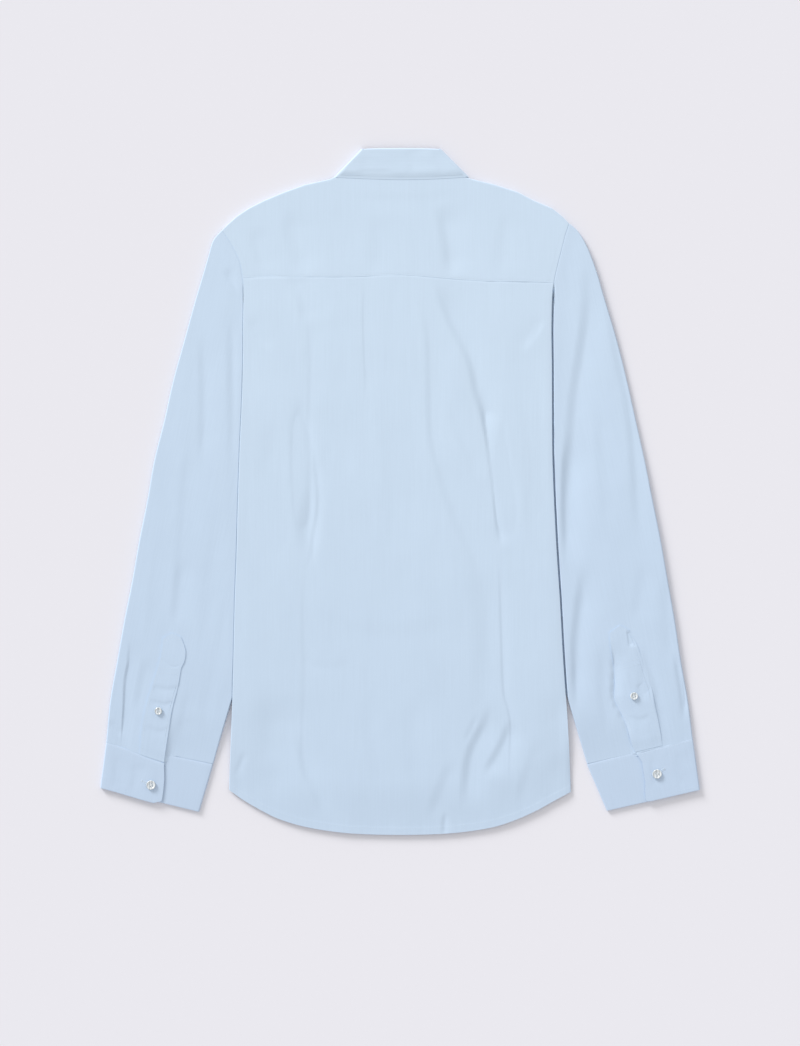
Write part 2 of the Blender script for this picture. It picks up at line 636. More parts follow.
def sleeve_level(x, y):
    """The upper face of a sleeve: it laps under the body at the armhole and is tucked below that."""
    level = mix(CUFF_SEAM_LEVEL, SLEEVE_TOP, smooth((y - CUFF_SEAM_Y) / CUFF_SLOPE))
    outside = -inside(x, y)
    lap = BACK_TOP - SEAM_LAP_DROP - 0.06
    beyond = mix(BACK_TOP - 0.1, level, smooth(outside / ARMHOLE_SLOPE))
    sewn = mix(lap, beyond, smooth((outside - 0.1) / ARMHOLE_STEP))
    slot_width, slot_level, wall, dip, rise = (np.where(x < 0, *pair) for pair in SLOTS)
    shoulder = level - dip * (1 - smooth(outside / rise))
    beside = mix(slot_level, shoulder, smooth((outside - slot_width) / wall))
    beside = mix(beside, SLEEVE_TUCKED_TOP, smooth(-outside / TUCKED_IN))
    return mix(beside, sewn, smooth((y - ARMHOLE_END_Y) / ARMHOLE_DIP))


def sleeve_form(rows, seed):
    """A sleeve's creases and unevenness, which stay off what the body covers."""

    def form(x, y):
        shows = smooth((-inside(x, y) - 2) / SLEEVE_CALM)
        gathers = GATHERS * ripple(x, y, 9, 90, seed + 4) * np.exp(-np.abs(y - CUFF_SEAM_Y) / GATHERS_REACH)
        return (crease_height(rows, x, y) + drape(x, y, seed) + gathers) * shows

    return form


left_sleeve_form = sleeve_form(SLEEVE_LEFT_CREASES, 12.5)
right_sleeve_form = sleeve_form(SLEEVE_RIGHT_CREASES, 17.5)


def sleeve_form_at(x, y):
    return np.where(x < 0, left_sleeve_form(x, y), right_sleeve_form(x, y))


# Meshes.
def shell(face, back, keep=None, closed=False):
    """A closed wall between two grids of points, as points and quads. Cells can be left out."""
    rows, across = face.shape[0] - 1, face.shape[1]
    columns = across if closed else across - 1
    kept = np.ones((rows, columns), bool) if keep is None else keep
    index = np.arange((rows + 1) * across).reshape(rows + 1, across)
    after = np.roll(index, -1, axis=1)[:, :columns]
    here = index[:, :columns]
    a, b, c, d = here[:-1], after[:-1], after[1:], here[1:]
    layer = index.size
    quads = [np.stack([a, b, c, d], -1)[kept], np.stack([d, c, b, a], -1)[kept] + layer]
    framed = np.zeros((rows + 2, columns + 2), bool)
    framed[1:-1, 1:-1] = kept
    if closed:
        framed[1:-1, 0], framed[1:-1, -1] = kept[:, -1], kept[:, 0]
    for p, q, beside in [
        (a, b, framed[:-2, 1:-1]),
        (b, c, framed[1:-1, 2:]),
        (c, d, framed[2:, 1:-1]),
        (d, a, framed[1:-1, :-2]),
    ]:
        rim = kept & ~beside
        quads.append(np.stack([q[rim], p[rim], p[rim] + layer, q[rim] + layer], -1))
    quads = np.vstack(quads)
    points = np.vstack([face.reshape(-1, 3), back.reshape(-1, 3)])
    used, renumbered = np.unique(quads, return_inverse=True)
    points, quads = points[used], renumbered.reshape(quads.shape)
    p, q, r, s = (points[quads[:, k]] for k in range(4))
    volume = np.sum(p * np.cross(q, r)) + np.sum(p * np.cross(r, s))
    return points, quads if volume > 0 else quads[:, ::-1]


def over(plan, us, vs, top, bottom):
    """The shell between two heights over one plan."""
    ground = plan(*np.meshgrid(us, vs))
    x, y = ground[..., 0], ground[..., 1]
    return shell(np.dstack([x, y, top(x, y)]), np.dstack([x, y, bottom(x, y)]))


def add_piece(name, points, faces, material, slot="shirting", sharp=55):
    mesh = bpy.data.meshes.new(name)
    mesh.from_pydata((np.asarray(points) * MM).tolist(), [], [list(face) for face in faces])
    mesh.validate()
    mesh.shade_smooth()
    mesh.set_sharp_from_angle(angle=math.radians(sharp))
    mesh.materials.append(material)
    piece = bpy.data.objects.new(name, mesh)
    bpy.context.collection.objects.link(piece)
    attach(piece, "root")
    return piece


# Materials.
def material_of(name):
    """A new material, a function that adds a node to it and one that sets its shader."""
    material = bpy.data.materials.new(name)
    material.use_nodes = True
    nodes, links = material.node_tree.nodes, material.node_tree.links

    def fill(node, inputs):
        for key, value in inputs.items():
            if isinstance(value, bpy.types.NodeSocket):
                links.new(value, node.inputs[key])
            else:
                node.inputs[key].default_value = value
        return node

    def add(kind, inputs, **settings):
        node = nodes.new("ShaderNode" + kind)
        for key, value in settings.items():
            setattr(node, key, value)
        return fill(node, inputs)

    return material, add, lambda inputs: fill(nodes["Principled BSDF"], inputs)


def ramp(add, value, low, high, start=0.0, stop=1.0):
    """The socket of a colour between two, by a value."""
    node = add("ValToRGB", {"Fac": value})
    for element, color, place in zip(node.color_ramp.elements, (low, high), (start, stop)):
        element.position, element.color = place, (*color, 1)
    return node.outputs["Color"]


WEAVE_PITCH = 0.36
SLUB_SCALE = (620, 16, 16)
TONES = (0.975, 1.025)
PEARL_TONES = ((0.50, 0.55, 0.58), (0.82, 0.85, 0.87))

# The blue deepens between these heights, in metres, to this share of each channel at the hem.
DEEPENING_FROM = 224.1 * MM
DEEPENING_TO = -360.9 * MM
DEEPEST = (0.915, 0.925, 0.95)


def shirting(name, color, grain_turn=0.0):
    """Plain woven cotton: crossed threads, slubs along the warp and a slight unevenness of the blue."""
    material, add, finish = material_of(name)
    place = add("TexCoord", {}).outputs["Object"]
    turn = {"Vector": place, "Rotation": (0, 0, math.radians(grain_turn))}
    turned = add("Mapping", turn).outputs["Vector"]
    scale = math.pi / (10 * WEAVE_PITCH * MM)
    wave = {"Vector": turned, "Scale": scale, "Distortion": 0.6, "Detail Scale": 0.4}
    warp, weft = (add("TexWave", wave, bands_direction=axis).outputs["Fac"] for axis in "XY")
    weave = add("Math", {0: warp, 1: weft}, operation="MULTIPLY").outputs["Value"]

    streaks = add("Mapping", {"Vector": turned, "Scale": SLUB_SCALE}).outputs["Vector"]
    slubs = add("TexNoise", {"Vector": streaks, "Scale": 1.0, "Detail": 3.0}).outputs["Fac"]
    cloud = add("TexNoise", {"Vector": turned, "Scale": 14.0}).outputs["Fac"]
    slub_part = add("Math", {0: slubs, 1: 0.6}, operation="MULTIPLY").outputs["Value"]
    tone = add("Math", {0: cloud, 1: 0.4, 2: slub_part}, operation="MULTIPLY_ADD").outputs["Value"]
    dark, light = ([min(channel * share, 1) for channel in color] for share in TONES)
    blue = ramp(add, tone, dark, light, 0.25, 0.75)

    height = add("SeparateXYZ", {"Vector": place}).outputs["Y"]
    depth = add("MapRange", {"Value": height, "From Min": DEEPENING_FROM, "From Max": DEEPENING_TO})
    loss = {0: depth.outputs["Result"], 1: tuple(share - 1 for share in DEEPEST), 2: (1, 1, 1)}
    deeper = add("VectorMath", loss, operation="MULTIPLY_ADD")
    tinted = add("VectorMath", {0: blue, 1: deeper.outputs["Vector"]}, operation="MULTIPLY")
    bump = add("Bump", {"Strength": 0.25, "Distance": 0.08 * MM, "Height": weave})
    finish({
        "Base Color": tinted.outputs["Vector"], "Normal": bump.outputs["Normal"], "Roughness": 0.85,
        "Sheen Weight": 0.2, "Sheen Roughness": 0.5, "Specular IOR Level": 0.2,
    })
    return material


def pearl(name):
    """A cast pearly button: milky, faintly banded, with a gloss."""
    material, add, finish = material_of(name)
    place = add("TexCoord", {}).outputs["Object"]
    bands = add("TexWave", {"Scale": 90, "Distortion": 6, "Detail": 3, "Vector": place}).outputs["Fac"]
    cloud = add("TexNoise", {"Scale": 900, "Vector": place}).outputs["Fac"]
    rough = add("MapRange", {"To Min": 0.16, "To Max": 0.30, "Value": cloud}).outputs["Result"]
    finish({"Base Color": ramp(add, bands, *PEARL_TONES), "Roughness": rough, "Coat Weight": 0.4})
    return material


def thread_of(name, color):
    """Sewing thread, twisted, a little glossier than the cloth."""
    material, add, finish = material_of(name)
    place = add("TexCoord", {}).outputs["Object"]
    twist = add("TexWave", {"Scale": 900, "Vector": place}, bands_direction="DIAGONAL").outputs["Fac"]
    dark = [channel * 0.88 for channel in color]
    finish({"Base Color": ramp(add, twist, dark, color), "Roughness": 0.6, "Sheen Weight": 0.2})
    return material


BODY_BLUE = (0.605, 0.73, 0.87)
SLEEVE_BLUE = (0.585, 0.71, 0.86)
CUFF_BLUE = (0.58, 0.70, 0.85)
THREAD_BLUE = (0.66, 0.765, 0.875)
body_cloth = shirting("shirting_body", BODY_BLUE)
sleeve_left_cloth = shirting("shirting_sleeve_left", SLEEVE_BLUE, 11)
sleeve_right_cloth = shirting("shirting_sleeve_right", SLEEVE_BLUE, -11)
cuff_left_cloth = shirting("shirting_cuff_left", CUFF_BLUE, 11)
cuff_right_cloth = shirting("shirting_cuff_right", CUFF_BLUE, -11)
collar_cloth = shirting("shirting_collar", BODY_BLUE, 90)
thread = thread_of("thread", THREAD_BLUE)
button_pearl = pearl("button_pearl")


# Back.
body_left, body_right = edge(BODY_LEFT), edge(BODY_RIGHT)
yoke_seam = by_x(YOKE_SEAM)


def below(offset):
    """The shares of the body's left and right edges at the yoke seam, moved by an offset."""
    return (
        share_at_y(body_left, YOKE_SEAM[0][1] + offset),
        share_at_y(body_right, YOKE_SEAM[-1][1] + offset),
    )


back_left_share, back_right_share = below(SEAM_LAP)
back_plan = patch(
    raised(yoke_seam, SEAM_LAP),
    by_x(HEM),
    part(body_left, back_left_share, 1),
    part(body_right, back_right_share, 1),
)


def back_under(x, y):
    return np.maximum(back_top(x, y) - sewn_thickness(x, y), lowest_back(x, y))


BACK_COLUMNS = spaced(238, near=(0.0, 0.185, 0.388, 0.83, 1.0), width=0.014, gain=2.5)
BACK_ROWS = spaced(196, near=(0.0, 1.0), width=0.02, gain=1.5)
back = add_piece("back_cloth", *over(back_plan, BACK_COLUMNS, BACK_ROWS, back_top, back_under), body_cloth)
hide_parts("back_panel")

# Yoke. Its rows run up the back, round the shoulder fold and down the front to the front seams.
FOLD_DEPTH = 1.1
SHOULDER_LEFT_X, SHOULDER_RIGHT_X = SHOULDER_LINE[0][0], SHOULDER_LINE[-1][0]
YOKE_BACK_ROWS, YOKE_FOLD_ROWS, YOKE_FLAP_ROWS = 44, 12, 26
SHOULDER_COLUMNS, NECK_COLUMNS = 78, 44

# The shoulder fold, and between its halves the neck edge, which lies on under the collar.
shoulder_y = straight_over_x(SHOULDER_LINE)


def yoke_grid(inset):
    """The points of one face of the yoke, and which of its cells are cloth."""
    xs = np.concatenate([
        np.linspace(SHOULDER_LEFT_X, NECK_LEFT_X, SHOULDER_COLUMNS, endpoint=False),
        np.linspace(NECK_LEFT_X, NECK_RIGHT_X, NECK_COLUMNS, endpoint=False),
        np.linspace(NECK_RIGHT_X, SHOULDER_RIGHT_X, SHOULDER_COLUMNS + 1),
    ])
    left_share, right_share = below(SEAM_GAP / 2)
    plan = patch(
        raised(yoke_seam, SEAM_GAP / 2),
        by_x(SHOULDER_LINE),
        part(body_left, left_share, 0),
        part(body_right, right_share, 0),
    )
    across = (xs - SHOULDER_LEFT_X) / (SHOULDER_RIGHT_X - SHOULDER_LEFT_X)
    u, v = np.meshgrid(across, spaced(YOKE_BACK_ROWS, near=(0.0,), width=0.06))
    place = plan(u, v)
    x, y = place[..., 0], place[..., 1]
    fold_y = shoulder_y(xs) - FOLD_DEPTH
    y = np.minimum(y, mix(y, fold_y, smooth((v - 0.6) / 0.4)))
    behind = np.dstack([x, y, yoke_top(x, y) - (sewn_thickness(x, y) if inset else 0)])

    high, low = yoke_top(xs, fold_y), front_bottom(xs, fold_y, False)
    turn = np.linspace(0, math.pi, YOKE_FOLD_ROWS + 1)[1:, None]
    fold = np.dstack([
        np.broadcast_to(xs, (YOKE_FOLD_ROWS, len(xs))),
        fold_y + (FOLD_DEPTH - inset) * np.sin(turn),
        (high + low) / 2 + ((high - low) / 2 - inset) * np.cos(turn),
    ])

    flap = np.zeros((YOKE_FLAP_ROWS, len(xs), 3))
    shares = np.linspace(0, 1, YOKE_FLAP_ROWS + 1)[1:]
    for patch_of, first, last in [
        (flap_left, SHOULDER_LEFT_X, NECK_LEFT_X),
        (flap_right, NECK_RIGHT_X, SHOULDER_RIGHT_X),
    ]:
        chosen = (xs >= first - 1e-6) & (xs <= last + 1e-6)
        u, v = np.meshgrid((xs[chosen] - first) / (last - first), shares)
        place = patch_of(u, v)
        x = place[..., 0]
        y = np.minimum(place[..., 1], shoulder_y(xs[chosen]) - FOLD_DEPTH - 0.4 * v)
        flap[:, chosen] = np.dstack([x, y, front_bottom(x, y, False) + inset])
    grid = np.concatenate([behind, fold, flap])
    limit = body_edge_x(grid[..., 0], grid[..., 1]) - 0.1
    grid[..., 0] = np.sign(grid[..., 0]) * np.minimum(np.abs(grid[..., 0]), limit)

    keep = np.ones((grid.shape[0] - 1, grid.shape[1] - 1), bool)
    keep[YOKE_BACK_ROWS:, SHOULDER_COLUMNS : SHOULDER_COLUMNS + NECK_COLUMNS] = False
    return grid, keep


flap_left = patch(
    spread(SHOULDER_LEFT_X, NECK_LEFT_X, shoulder_y),
    corners(FRONT_SEAM_LEFT),
    part(body_left, 0, share_at_y(body_left, FRONT_SEAM_LEFT[0][1])),
    straight((NECK_LEFT_X, float(shoulder_y(NECK_LEFT_X))), FRONT_SEAM_LEFT[1]),
)
flap_right = patch(
    spread(NECK_RIGHT_X, SHOULDER_RIGHT_X, shoulder_y),
    corners(FRONT_SEAM_RIGHT),
    straight((NECK_RIGHT_X, float(shoulder_y(NECK_RIGHT_X))), FRONT_SEAM_RIGHT[0]),
    part(body_right, 0, share_at_y(body_right, FRONT_SEAM_RIGHT[1][1])),
)
yoke_face, yoke_keep = yoke_grid(0)
yoke_back, _ = yoke_grid(SHELL)
yoke = add_piece("yoke_cloth", *shell(yoke_face, yoke_back, yoke_keep), body_cloth)
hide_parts("yoke")

# Fronts. They meet in the middle, the wearer's left over the right, so the left lies lower.
FRONT_COLUMNS, FRONT_ROWS = 64, 150
BELOW_SEAM = 0.4
FRONT_LIFT = 0.2


def front_hem_y(x):
    return hem_y(x) + FRONT_HEM_RISE


def below_seam(points):
    return [(x, y - BELOW_SEAM) for x, y in points]


left_top = corners(below_seam(FRONT_SEAM_LEFT + NECK_EDGE_LEFT))
right_top = corners(below_seam(NECK_EDGE_RIGHT + FRONT_SEAM_RIGHT))


def side_of_front(curve, top_y, hem_corner):
    """The body's side edge from the front seam down to the front's own hem."""
    return part(curve, share_at_y(curve, top_y), share_at_y(curve, hem_corner[1] + FRONT_HEM_RISE))


front_left_plan = patch(
    left_top,
    spread(HEM[0][0], CLOSURE_HALF_WIDTH, front_hem_y),
    side_of_front(body_left, left_top(0.0)[1], HEM[0]),
    straight(left_top(1.0), (CLOSURE_HALF_WIDTH, front_hem_y(CLOSURE_HALF_WIDTH))),
)
front_right_plan = patch(
    right_top,
    spread(-CLOSURE_HALF_WIDTH, HEM[-1][0], front_hem_y),
    straight(right_top(0.0), (-CLOSURE_HALF_WIDTH, front_hem_y(-CLOSURE_HALF_WIDTH))),
    side_of_front(body_right, right_top(1.0)[1], HEM[-1]),
)
for name, plan, is_right in [
    ("front_left", front_left_plan, False),
    ("front_right", front_right_plan, True),
]:
    def low(x, y):
        return front_bottom(x, y, is_right) + FRONT_LIFT

    def high(x, y):
        return low(x, y) + SHELL

    us, vs = spaced(FRONT_COLUMNS, near=(0.0, 1.0)), spaced(FRONT_ROWS, near=(0.0, 1.0))
    front = add_piece(f"{name}_cloth", *over(plan, us, vs, high, low), body_cloth)
    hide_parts(name)

# Cuffs in plan.
CUFF_TURN = 1.6
CUFF_ROWS = 36
CUFF_CORNER = 4.5
CUFF_DEPTH = 55
# The wall thins out to these shares of itself at its free rim and at its seam.
FREE_RIM_SHARE, FREE_RIM_RUN = 0.75, 1.6
SEAM_RIM_SHARE, SEAM_RIM_RUN = 0.35, 4


def cuff_place(shape, share, offset, row, sag=0.0):
    """A place on a cuff: the share and offset across, the share from seam to free edge, the sag."""
    seam, free = (np.array([shape["outer" + end], shape["inner" + end]]) for end in ("_seam", "_free"))
    outer, inner = mix(seam, free, row)
    width = np.hypot(*(inner - outer))
    x, y = mix(outer, inner, share + offset / width)
    return x, y - sag * (1 - 0.75 * row)


def cuff_end(shape, row):
    return float(np.interp(row, *zip(*shape["end_shares"])))


def cuff_sag(shape, share):
    """How far the seam of a cuff hangs below its straight line, most at the buttoned end."""
    end = cuff_end(shape, 0)
    return shape["droop"] * float(smooth(share / end)) * float(1 - smooth((share - end - 0.01) / 0.07))


# Sleeves. Each is a flattened tube, open at both ends, flat below and lofted above.
EDGE_LEVEL = 1.5
EDGE_ROUND = 1.3
EDGE_ROUND_BELOW = 2.0
SLEEVE_GAP = 0.5
ARMHOLE_LAP = 1.4
# Beside the front part of the yoke, above this height, the underside only reaches its edge.
YOKE_FLAP_Y = 261.5
LOW_GAP = 0.15
CUFF_LAP = 3.2
CUFF_EDGE = 0.6
SLEEVE_ROWS = 236
UNDER_TOP_LAYER = 4.05
UNDER_LOW_LAYER = 2.4
LOW_LAYER_LEVEL = 2.95
LOW_LAYER_RUN = 60
LOW_WALL_LIFT = 1.2
CUFF_SQUEEZE = 2.0
# The last share of a sleeve's length, over which its way to the cuff is measured.
LAST_SHARE = 0.05


def sleeve_plan(edges, side, shape, hangs=True):
    """A sleeve's plan, which laps under the body at the armhole and into the cuff at its end.

    The upper side hangs with the cuff's seam; the underside keeps to the seam's straight line.
    """
    armhole = [(x - side * ARMHOLE_LAP, y) for x, y in edges["armhole"]]
    if not hangs:
        armhole = [(x + side * (ARMHOLE_LAP + LOW_GAP) * (y > YOKE_FLAP_Y), y) for x, y in armhole]
    armhole[0] = (edges["armhole"][0][0] + side * SLEEVE_GAP, edges["armhole"][0][1])
    row = CUFF_LAP / CUFF_DEPTH
    shares = np.linspace(0, 1, 15)
    end = [cuff_place(shape, share, 0, row, hangs * cuff_sag(shape, share)) for share in shares]
    outer = [armhole[0]] + edges["outer"][1:] + end[:1]
    inner = [armhole[-1]] + edges["inner"][1:-1] + end[-1:]
    return patch(*(edge(points) for points in (armhole, end, outer, inner)))


SLOT_SHARE = 0.72
SLOT_MIDDLE = (0.4, 2.2)
SLOT_SHARE_RANGE = (0.3, 0.93)


def slot_shares(plan, rows):
    """For each row, the share across the sleeve at which it meets the body's edge."""
    u, v = np.meshgrid(np.linspace(0, 1, 241), rows)
    place = plan(u, v)
    outside = -inside(place[..., 0], place[..., 1]) - np.where(place[..., 0] < 0, *SLOT_MIDDLE)
    found = np.where(outside > 0, u, 0).max(axis=1)
    slot = np.clip(found, *SLOT_SHARE_RANGE)
    return np.convolve(np.pad(slot, 2, mode="edge"), np.ones(5) / 5, mode="valid")


def sleeve_grid(plan, low_plan, form, inset, overlap_end, dense):
    """The points of one face of a sleeve: across its upper side and back across the underside."""
    top_shares = spaced(104, near=(0.0, SLOT_SHARE, 1.0, dense), width=0.04, gain=4)
    low_shares = spaced(22, near=(0.0, 1.0), width=0.03, gain=3)[1:-1][::-1]
    shares = np.concatenate([top_shares, low_shares])
    is_top = np.arange(len(shares)) < len(top_shares)
    rows = spaced(SLEEVE_ROWS, near=(0.0, 1.0), width=0.012, gain=4)
    u, v = np.meshgrid(shares, rows)
    slot = slot_shares(plan, rows)[:, None]
    u = np.where(u < SLOT_SHARE, u * slot / SLOT_SHARE, 1 - (1 - u) * (1 - slot) / (1 - SLOT_SHARE))
    near_end = plan(u, np.full_like(u, 1 - LAST_SHARE))
    rate = np.hypot(*(plan(u, np.ones_like(u)) - near_end).transpose(2, 0, 1)) / LAST_SHARE
    to_end = (1 - v) * rate
    inside_cuff = 1 - smooth((to_end - CUFF_LAP - 0.1) / CUFF_EDGE)
    first, last = plan(np.zeros_like(v), v), plan(np.ones_like(v), v)
    width = np.hypot(*(last - first).transpose(2, 0, 1))
    wall = inset * (1 - 0.5 * inside_cuff)
    margin = (wall + CUFF_SQUEEZE * inside_cuff) / width
    placed = mix(margin, 1 - margin, u)
    place = np.where(is_top[:, None], plan(placed, v), low_plan(placed, v))
    x, y = place[..., 0], place[..., 1]
    away = np.minimum(placed, 1 - placed) * width - wall
    over_low_layer = smooth((u - overlap_end + 0.01) / 0.05)
    level = sleeve_level(x, y) + form(x, y)
    level = mix(level, LOW_LAYER_LEVEL, over_low_layer * (1 - smooth(to_end / LOW_LAYER_RUN)))
    level = mix(level, mix(UNDER_TOP_LAYER, UNDER_LOW_LAYER, over_low_layer), inside_cuff)
    top = mix(EDGE_LEVEL, level - wall, round_off(away, EDGE_ROUND))
    low = wall + (EDGE_LEVEL - wall) * (1 - round_off(away, EDGE_ROUND_BELOW)) + LOW_WALL_LIFT * inside_cuff
    return np.dstack([x, y, np.where(is_top, top, np.minimum(low, top))])


for name, edges, side, form, cloth, shape, dense in [
    ("sleeve_left", SLEEVE_LEFT, -1, left_sleeve_form, sleeve_left_cloth, CUFF_LEFT, 0.11),
    ("sleeve_right", SLEEVE_RIGHT, 1, right_sleeve_form, sleeve_right_cloth, CUFF_RIGHT, 0.30),
]:
    plan, low_plan = sleeve_plan(edges, side, shape), sleeve_plan(edges, side, shape, hangs=False)
    faces = [sleeve_grid(plan, low_plan, form, inset, cuff_end(shape, 0), dense) for inset in (0, SHELL)]
    sleeve = add_piece(f"{name}_cloth", *shell(*faces, closed=True), cloth)
    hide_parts(name)

# Cuffs. Each runs from its buttoned end over the top, round below and back up as the underlap.
TOP_STATIONS, TURN_STATIONS, LOW_STATIONS, UNDERLAP_STATIONS = 46, 17, 30, 26


def cuff_stations():
    """The middle of a cuff's wall: share across (of the end for the top), offset, height and angle."""
    half = STIFF_SHELL / 2
    top, under, low = CUFF_TOP - half, CUFF_UNDER_TOP - half, half

    def turn(share, high, first, last):
        """The stations round one end, between the low wall and a high one."""
        stations = []
        for angle in np.linspace(first, last, TURN_STATIONS):
            turned = math.radians(angle)
            out = CUFF_TURN * (1 - abs(math.cos(turned))) + half * abs(math.cos(turned))
            height = mix(low, high, (1 + math.sin(turned)) / 2)
            stations.append((share, out * (1 - 2 * share), height, angle))
        return stations

    shares = 1 - spaced(TOP_STATIONS - 1, near=(0.0,), width=0.1) * 0.9
    rows = [(share, 0, top, 90) for share in shares]
    rows += turn(0, top, 90, 270)
    rows += [(share, 0, low, 270) for share in np.linspace(0.06, 0.94, LOW_STATIONS)]
    rows += turn(1, under, 270, 450)
    rows += [(share, 0, under, 90) for share in np.linspace(0.94, UNDERLAP_END, UNDERLAP_STATIONS)]
    return rows


def cuff_grids(shape):
    """The points of the outer and inner face of a cuff."""
    stations = cuff_stations()
    rows = spaced(CUFF_ROWS, near=(0.0, 1.0), width=0.05)
    grids = [np.zeros((len(rows), len(stations), 3)) for _ in range(2)]
    for j, row in enumerate(rows):
        from_edge = (1 - row) * CUFF_DEPTH
        corner = CUFF_CORNER - math.sqrt(max(CUFF_CORNER**2 - max(CUFF_CORNER - from_edge, 0) ** 2, 0))
        thin = mix(FREE_RIM_SHARE, 1, float(round_off(from_edge, FREE_RIM_RUN)))
        thin = thin * mix(SEAM_RIM_SHARE, 1, float(round_off(row * CUFF_DEPTH, SEAM_RIM_RUN)))
        for i, (share, offset, height, angle) in enumerate(stations):
            sag = 0
            if i < TOP_STATIONS:
                offset = -corner * float(smooth((share - 0.8) / 0.2))
                share = share * cuff_end(shape, row)
                sag = cuff_sag(shape, share)
            turned = math.radians(angle)
            for grid, side in zip(grids, (1, -1)):
                half = side * STIFF_SHELL / 2 * thin
                x, y = cuff_place(shape, share, offset + half * math.cos(turned), row, sag)
                grid[j, i] = x, y, height + half * math.sin(turned)
    return grids


def add_cuff_relief(grid):
    """Adds the creases and the soft unevenness of the upper side of a cuff."""
    x, y = grid[:, :TOP_STATIONS, 0], grid[:, :TOP_STATIONS, 1]
    soft = crease_height(CUFF_CREASES, x, y) + 0.18 * ripple(x, y, 26, 18, 21.5)
    grid[:, :TOP_STATIONS, 2] += soft + 0.06 * ripple(x, y, 7, 7, 23.5)


for name, shape, cloth in [
    ("cuff_left", CUFF_LEFT, cuff_left_cloth),
    ("cuff_right", CUFF_RIGHT, cuff_right_cloth),
]:
    cuff_face, cuff_back = cuff_grids(shape)
    add_cuff_relief(cuff_face)
    cuff = add_piece(f"{name}_cloth", *shell(cuff_face, cuff_back), cloth)
    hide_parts(name)


# Guard plackets. Each is a strip made from the sleeve's own upper face, moved up.
def placket_plan(shape):
    outer_edge, free_edge = edge(shape["outer"]), edge(shape["free"])
    peak = np.array(shape["tip"]) - (outer_edge(0.0) + free_edge(0.0)) / 2

    def plan(u, v):
        place = mix(outer_edge(v), free_edge(v), u[..., None])
        share = (1 - np.abs(2 * u - 1)) * np.maximum(1 - v * 6, 0)
        return place + peak * share[..., None]

    return plan


PLACKET_THICKNESS = 0.7
PLACKET_END_THICKNESS = 0.2
PLACKET_END_TAPER = 14
PLACKET_LIFT = 0.05


def placket_thickness(shape, x, y):
    """The thickness of a strip, which thins out towards the cuff."""
    first, last = np.array(shape["outer"][-1]), np.array(shape["free"][-1])
    run_x, run_y = (last - first) / np.hypot(*(last - first))
    from_end = np.abs((y - first[1]) * run_x - (x - first[0]) * run_y)
    return mix(PLACKET_END_THICKNESS, PLACKET_THICKNESS, smooth(from_end / PLACKET_END_TAPER))


def sleeve_top(x, y):
    return sleeve_level(x, y) + sleeve_form_at(x, y)


for name, shape, lines, cloth in [
    ("sleeve_placket_left", PLACKET_LEFT, PLACKET_LEFT_CREASES, sleeve_left_cloth),
    ("sleeve_placket_right", PLACKET_RIGHT, PLACKET_RIGHT_CREASES, sleeve_right_cloth),
]:
    def under(x, y):
        return sleeve_top(x, y) + PLACKET_LIFT

    def upper(x, y):
        soft = crease_height(lines, x, y) + 0.1 * ripple(x, y, 8, 12, 31.5)
        return under(x, y) + placket_thickness(shape, x, y) + soft

    us, vs = spaced(34, near=(0.0, 1.0), width=0.08), spaced(116, near=(0.0, 0.22, 1.0), width=0.05)
    placket = add_piece(f"{name}_cloth", *over(placket_plan(shape), us, vs, upper, under), cloth)
    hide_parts(name)

# Collar. Its stations run from one front end, round the slanted crease, across the back and round.
# At its fold the leaf's face and back rise by FRONT_ROLLS in front and sink by BACK_ROLLS behind.
ROLL = 1.7
FRONT_ROLLS = (0.6, 0.2)
BACK_ROLLS = (2.6, 2.2)
LEAF_DEPTH = 34
LEAF_SETTLES = 14
LEAF_SINKS = 0.17
LEAF_RIM_SHARE = 0.22
LEAF_RIM_TAPER = 9
LEAF_CLEARANCE = 0.06
# How far the slanted creases bulge out.
FALL_BULGE = 3.2
STAND_BULGE = 2


def band_rows(count):
    return spaced(count, near=(0.0, 1.0), width=0.06)


def collar_grids(back, left, right, wall_size, bulge, rolls, front_heights, back_top_z, counts):
    """The two faces of a band. counts are its stations in front, at a crease and behind, and rows."""
    front_count, crease_count, back_count, row_count = counts
    rows = band_rows(row_count)
    rolled = (1 - round_off(rows * LEAF_DEPTH, ROLL)) if rolls else np.zeros_like(rows)

    def between(shape, share):
        fold, rim = edge(shape["fold"])(share), edge(shape["rim"])(share)
        return fold + (rim - fold) * rows[:, None]

    def front_station(shape, height_of, share):
        return [
            np.column_stack([between(shape, share), height_of(share) + inset + rolled * roll])
            for inset, roll in zip((0, wall_size), FRONT_ROLLS)
        ]

    def crease_station(shape, height_of, sign, angle):
        low = height_of(0.0)
        x, y = between(shape, 0.0).T
        faces = []
        for inset in (0, wall_size):
            out = (bulge - inset) * math.sin(angle) - bulge
            height = (back_top_z + low) / 2 + ((back_top_z - low) / 2 - inset) * math.cos(angle)
            faces.append(np.column_stack([x + sign * out, y, np.full(len(rows), height)]))
        return faces

    def back_station(share):
        return [
            np.column_stack([between(back, share), back_top_z - inset - rolled * roll])
            for inset, roll in zip((0, wall_size), BACK_ROLLS)
        ]

    front_shares = np.linspace(1, 0.03, front_count)
    angles = np.linspace(0.06, 0.94, crease_count) * math.pi
    stations = [front_station(left, front_heights[0], share) for share in front_shares]
    stations += [crease_station(left, front_heights[0], -1, angle) for angle in angles[::-1]]
    stations += [back_station(share) for share in np.linspace(0.03, 0.97, back_count)]
    stations += [crease_station(right, front_heights[1], 1, angle) for angle in angles]
    stations += [front_station(right, front_heights[1], share) for share in front_shares[::-1]]
    return [np.stack([station[side] for station in stations], axis=1) for side in (0, 1)]


